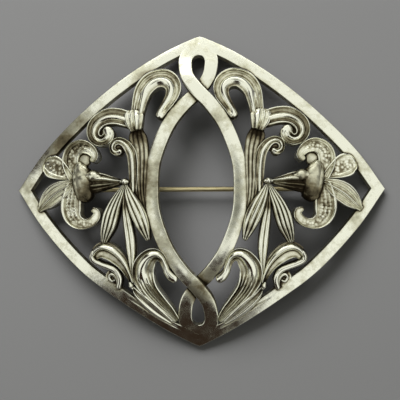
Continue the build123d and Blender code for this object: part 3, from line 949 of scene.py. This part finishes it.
def addNode(tree, kind, inputs=None, stops=(), **settings):
    # a node with its settings, its inputs set to values or linked to sockets, and, on a
    # colour ramp, each stop's place and colour
    node = tree.nodes.new(kind)
    for name, value in settings.items():
        setattr(node, name, value)
    for name, value in (inputs or {}).items():
        if isinstance(value, bpy.types.NodeSocket):
            tree.links.new(value, node.inputs[name])
        else:
            node.inputs[name].default_value = value
    for number, (place, colour) in enumerate(stops):
        elements = node.color_ramp.elements
        element = elements[number] if number < 2 else elements.new(place)
        element.position, element.color = place, linear(colour)
    return node


def newMaterial(name):
    material = bpy.data.materials.new(name)
    material.use_nodes = True
    tree = material.node_tree
    tree.nodes.clear()
    return material, tree


def addShares(tree, total, parts):
    # a total and, added to it, each of several amounts times its share
    for amount, share in parts:
        total = addNode(tree, "ShaderNodeMath", {
            0: amount, 1: share, 2: total,
        }, operation="MULTIPLY_ADD").outputs[0]
    return total


# Stops are where along the depth of tarnish and painted shade the four colours stand, and clean
# is added to that depth everywhere. Mottle, patch, scratch, pebble and bumpHeight are sizes in
# millimetres, and each share is how much of it tells.
silver = {
    "colours": ("#F3F3E5", "#D4D2BC", "#857C64", "#2B241A"), "stops": (0.06, 0.28, 0.58, 0.90),
    "clean": -0.63, "mottle": 1.7, "mottleShare": 0.85, "patch": 6.0, "patchShare": 0.55,
    "pebble": 0.62, "pebbleUneven": 0.8, "pebbleEdge": (0.24, 0.66), "pebbleShare": 0.54,
    "pebblePower": 1.2, "scratch": 0.35, "scratchShare": 0.18,
    "roughness": (0.15, 0.50), "roughFrom": 0.6, "bump": 0.55, "bumpHeight": 0.05,
}


def castSilver():
    # sterling silver, cast, then rubbed: bright on the ridges, sulphide brown together with painted
    # shade in the recesses, where it is rough and no longer mirrors the room; the listed dark spots
    # add more painted shade and a painted reflection
    material, tree = newMaterial("sterling silver, cast and tarnished, with painted shade")
    place = addNode(tree, "ShaderNodeTexCoord").outputs["Object"]
    # the map of the recesses' tarnish with painted shade, and the dark spots
    hollow = addNode(tree, "ShaderNodeAttribute", attribute_name="hollow").outputs["Fac"]
    stippled = addNode(tree, "ShaderNodeAttribute", attribute_name="stipple").outputs["Fac"]
    # small patches of tarnish, gathered into larger ones, and handling marks, which are
    # really far finer and are drawn as coarse as they need to be to show
    noise = {}
    for name, detail, roughness in (
        ("mottle", 5.0, 0.62), ("scratch", 3.0, 0.6), ("patch", 4.0, 0.6)
    ):
        noise[name] = addNode(tree, "ShaderNodeTexNoise", {
            "Vector": place, "Scale": 1 / (silver[name] * mm), "Detail": detail,
            "Roughness": roughness,
        }).outputs["Fac"]
    # chased petals: small round pebbles with tarnish between them
    offPebble = addNode(tree, "ShaderNodeTexVoronoi", {
        "Vector": place, "Scale": 1 / (silver["pebble"] * mm), "Randomness": silver["pebbleUneven"],
    }, feature="F1").outputs["Distance"]
    pebbleTop, pebbleFoot = silver["pebbleEdge"]
    between = addNode(tree, "ShaderNodeMapRange", {
        "Value": offPebble, "From Min": pebbleTop, "From Max": pebbleFoot, "To Min": 0.0, "To Max": 1.0,
    }).outputs["Result"]
    pits = addNode(tree, "ShaderNodeMath", {
        0: between, 1: stippled,
    }, operation="MULTIPLY").outputs[0]
    stain = addNode(tree, "ShaderNodeMath", {
        0: pits, 1: silver["pebblePower"],
    }, operation="POWER").outputs[0]
    depth = addShares(tree, silver["clean"], (
        (noise["patch"], silver["patchShare"]), (noise["mottle"], silver["mottleShare"]),
        (stain, silver["pebbleShare"]), (hollow, 1.0),
    ))
    colour = addNode(tree, "ShaderNodeValToRGB", {"Fac": depth}, zip(silver["stops"], silver["colours"]))
    smooth, rough = silver["roughness"]
    roughness = addNode(tree, "ShaderNodeMapRange", {
        "Value": depth, "From Min": 0.0, "From Max": silver["roughFrom"],
        "To Min": smooth, "To Max": rough,
    }).outputs["Result"]
    height = addShares(tree, noise["mottle"], (
        (pits, -1.0), (noise["scratch"], silver["scratchShare"]),
    ))
    bump = addNode(tree, "ShaderNodeBump", {
        "Height": height, "Strength": silver["bump"], "Distance": silver["bumpHeight"] * mm,
    }).outputs["Normal"]
    shader = addNode(tree, "ShaderNodeBsdfPrincipled", {
        "Base Color": colour.outputs["Color"], "Metallic": 1.0, "Roughness": roughness,
        "Normal": bump,
    })
    addNode(tree, "ShaderNodeOutputMaterial", {"Surface": shader.outputs["BSDF"]})
    return material


# Grain is the spacing of the lines in millimetres, stretch how much longer they are.
wires = {
    "pin_stem": {
        "slot": "pin_brass", "name": "nickel brass, drawn wire", "roughness": 0.30,
        "stops": ((0.35, "#EFE2B8"), (0.75, "#A89A70")), "grain": 0.25, "stretch": 0.06,
    },
    "hinge_rivet": {
        "slot": "rivet_silver", "name": "silver wire, dulled", "roughness": 0.42,
        "stops": ((0.35, "#BDB69E"), (0.75, "#8A836C")), "grain": 0.25, "stretch": 0.06,
    },
}


def drawnWire(wire):
    # drawn wire: lines along its length, really finer and drawn as coarse as they need to be
    # to show, and a little tarnish between them
    material, tree = newMaterial(wire["name"])
    place = addNode(tree, "ShaderNodeTexCoord").outputs["Object"]
    stretched = addNode(tree, "ShaderNodeMapping", {
        "Vector": place, "Scale": (wire["stretch"], 1.0, 1.0),
    })
    drawing = addNode(tree, "ShaderNodeTexNoise", {
        "Vector": stretched.outputs["Vector"], "Scale": 1 / (wire["grain"] * mm), "Detail": 3.0,
    }).outputs["Fac"]
    colour = addNode(tree, "ShaderNodeValToRGB", {"Fac": drawing}, wire["stops"])
    bump = addNode(tree, "ShaderNodeBump", {
        "Height": drawing, "Strength": 0.3, "Distance": 0.01 * mm,
    })
    shader = addNode(tree, "ShaderNodeBsdfPrincipled", {
        "Base Color": colour.outputs["Color"], "Metallic": 1.0, "Roughness": wire["roughness"],
        "Normal": bump.outputs["Normal"],
    })
    addNode(tree, "ShaderNodeOutputMaterial", {"Surface": shader.outputs["BSDF"]})
    return material


cast = castSilver()
for name, piece in pieces.items():
    made = makeMesh(name, piece)
    made.data.materials.append(cast)
    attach(made, "front")
    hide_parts("openwork_front")
print("front built and dressed")

for name, wire in wires.items():
    node, slot = frame["nodes"][name], wire["slot"]
    node.data.materials.clear()
    node.data.materials.append(drawnWire(wire))
print("pin and rivet dressed")


# A side of the room is a direction in the plan, how near to it the side begins and is full,
# as the cosine of the angle away, and the heights where it begins and is full: 0 is level
# with the table, 1 overhead. Zenith and horizon are the heights where the colours overhead
# and low down begin and are full.
studio = {
    "card": "#484848", "cardSide": 1.6, "cardRoughness": 0.9,
    "sky": "#F7F8F0", "overhead": "#7A7A70", "low": "#6E6C66", "dark": "#2C2119",
    "zenith": (0.945, 0.996), "horizon": (0.40, 0.12), "skyStrength": 1.0, "windowShine": 2.9,
    "wall": {"towards": (-0.267, -0.964), "near": (0.79, 0.89), "heights": [(0.945, 0.87)]},
    "door": {"towards": (-0.899, 0.438), "near": (0.955, 0.985), "heights": [(0.84, 0.72)]},
    "window": {
        "towards": (-0.10, 0.995), "near": (0.80, 0.92), "heights": [(0.06, 0.14), (0.42, 0.32)],
    },
    "lampPlace": (-0.16, 0.42, 0.38), "lampSides": (0.46, 0.36), "lampPower": 17.2,
}


def mattCard():
    # a square card under the brooch
    mesh = bpy.data.meshes.new("floor")
    side = studio["cardSide"] / 2
    corners = [(-side, -side, 0), (side, -side, 0), (side, side, 0), (-side, side, 0)]
    mesh.from_pydata(corners, [], [(0, 1, 2, 3)])
    floor = bpy.data.objects.new("floor", mesh)
    bpy.context.scene.collection.objects.link(floor)
    material, tree = newMaterial("card, matt")
    shader = addNode(tree, "ShaderNodeBsdfPrincipled", {
        "Base Color": linear(studio["card"]), "Roughness": studio["cardRoughness"],
    })
    addNode(tree, "ShaderNodeOutputMaterial", {"Surface": shader.outputs["BSDF"]})
    mesh.materials.append(material)


def softMask(tree, steps):
    # the product of several soft steps, each from 0 at its start to 1 at its end
    product = 1.0
    for value, start, end in steps:
        step = addNode(tree, "ShaderNodeMapRange", {
            "Value": value, "From Min": start, "From Max": end, "To Min": 0.0, "To Max": 1.0,
        }, interpolation_type="SMOOTHSTEP").outputs["Result"]
        product = addNode(tree, "ShaderNodeMath", {
            0: step, 1: product,
        }, operation="MULTIPLY").outputs[0]
    return product


def roomLight():
    # a pale room: a dim wall behind the foot, a doorway on the left, a low window at the top
    world = bpy.data.worlds.new("studio")
    world.use_nodes = True
    tree = world.node_tree
    tree.nodes.clear()
    direction = addNode(tree, "ShaderNodeTexCoord").outputs["Generated"]
    parts = addNode(tree, "ShaderNodeSeparateXYZ", {"Vector": direction}).outputs
    high = parts["Z"]
    flat = addNode(tree, "ShaderNodeCombineXYZ", {"X": parts["X"], "Y": parts["Y"]}).outputs[0]
    compass = addNode(tree, "ShaderNodeVectorMath", {0: flat}, operation="NORMALIZE").outputs[0]
    sides = {}
    for name in ("wall", "door", "window"):
        side = studio[name]
        away = addNode(tree, "ShaderNodeVectorMath", {
            0: compass, 1: (*side["towards"], 0.0),
        }, operation="DOT_PRODUCT").outputs["Value"]
        steps = [(away, *side["near"])] + [(high, *height) for height in side["heights"]]
        sides[name] = softMask(tree, steps)
    # each colour is laid over the ones before it, where its mask is 1
    colour = linear(studio["sky"])
    for mask, name in (
        (softMask(tree, [(high, *studio["zenith"])]), "overhead"),
        (softMask(tree, [(high, *studio["horizon"])]), "low"),
        (sides["door"], "dark"),
        (sides["wall"], "dark"),
    ):
        colour = addNode(tree, "ShaderNodeMix", {
            0: mask, 6: colour, 7: linear(studio[name]),
        }, data_type="RGBA").outputs[2]
    strength = addShares(tree, studio["skyStrength"], ((sides["window"], studio["windowShine"]),))
    sky = addNode(tree, "ShaderNodeBackground", {"Color": colour, "Strength": strength})
    addNode(tree, "ShaderNodeOutputWorld", {"Surface": sky.outputs["Background"]})
    bpy.context.scene.world = world


def windowLamp():
    # a lamp at the window's place, turned to face the brooch, that lights the card and throws
    # the shadows, while the metal mirrors the room alone
    lamp = bpy.data.lights.new("window", "AREA")
    lamp.shape, lamp.energy = "RECTANGLE", studio["lampPower"]
    lamp.size, lamp.size_y = studio["lampSides"]
    holder = bpy.data.objects.new("window", lamp)
    place = np.array(studio["lampPlace"])
    back = place / np.linalg.norm(place)
    right = np.cross((0, 0, 1), back)
    right /= np.linalg.norm(right)
    turned = np.eye(4)
    turned[:3] = np.column_stack([right, np.cross(back, right), back, place])
    holder.matrix_world = Matrix(turned.tolist())
    holder.visible_glossy = False
    bpy.context.scene.collection.objects.link(holder)


# the photograph's view: almost straight down, leaning a little to the foot and the right
photo = {
    "pitch": 3.89, "yaw": 5.30, "roll": 0.04, "distance": 0.260, "aim": (0, 0, 0.003),
    "lens": 115.64, "sensor": 36.0, "shift": (0.00325, -0.02715),
}


def photoCamera():
    # the camera's turn is yaw about Y, then pitch about X, then roll about its own axis
    pitch, yaw, roll = (math.radians(photo[name]) for name in ("pitch", "yaw", "roll"))
    turned = Matrix.Rotation(yaw, 4, "Y") @ Matrix.Rotation(pitch, 4, "X")
    turned = turned @ Matrix.Rotation(roll, 4, "Z")
    back = turned.col[2].to_3d()
    turned.translation = back * photo["distance"] + Matrix.Translation(photo["aim"]).translation
    camera = bpy.data.cameras.new("photo camera")
    camera.lens, camera.sensor_width = photo["lens"], photo["sensor"]
    camera.shift_x, camera.shift_y = photo["shift"]
    camera.clip_start = 0.01
    holder = bpy.data.objects.new("photo camera", camera)
    holder.matrix_world = turned
    bpy.context.scene.collection.objects.link(holder)
    bpy.context.scene.camera = holder


mattCard()
roomLight()
windowLamp()
photoCamera()
bpy.context.scene.view_settings.view_transform = "Standard"
print("floor, light and camera set")
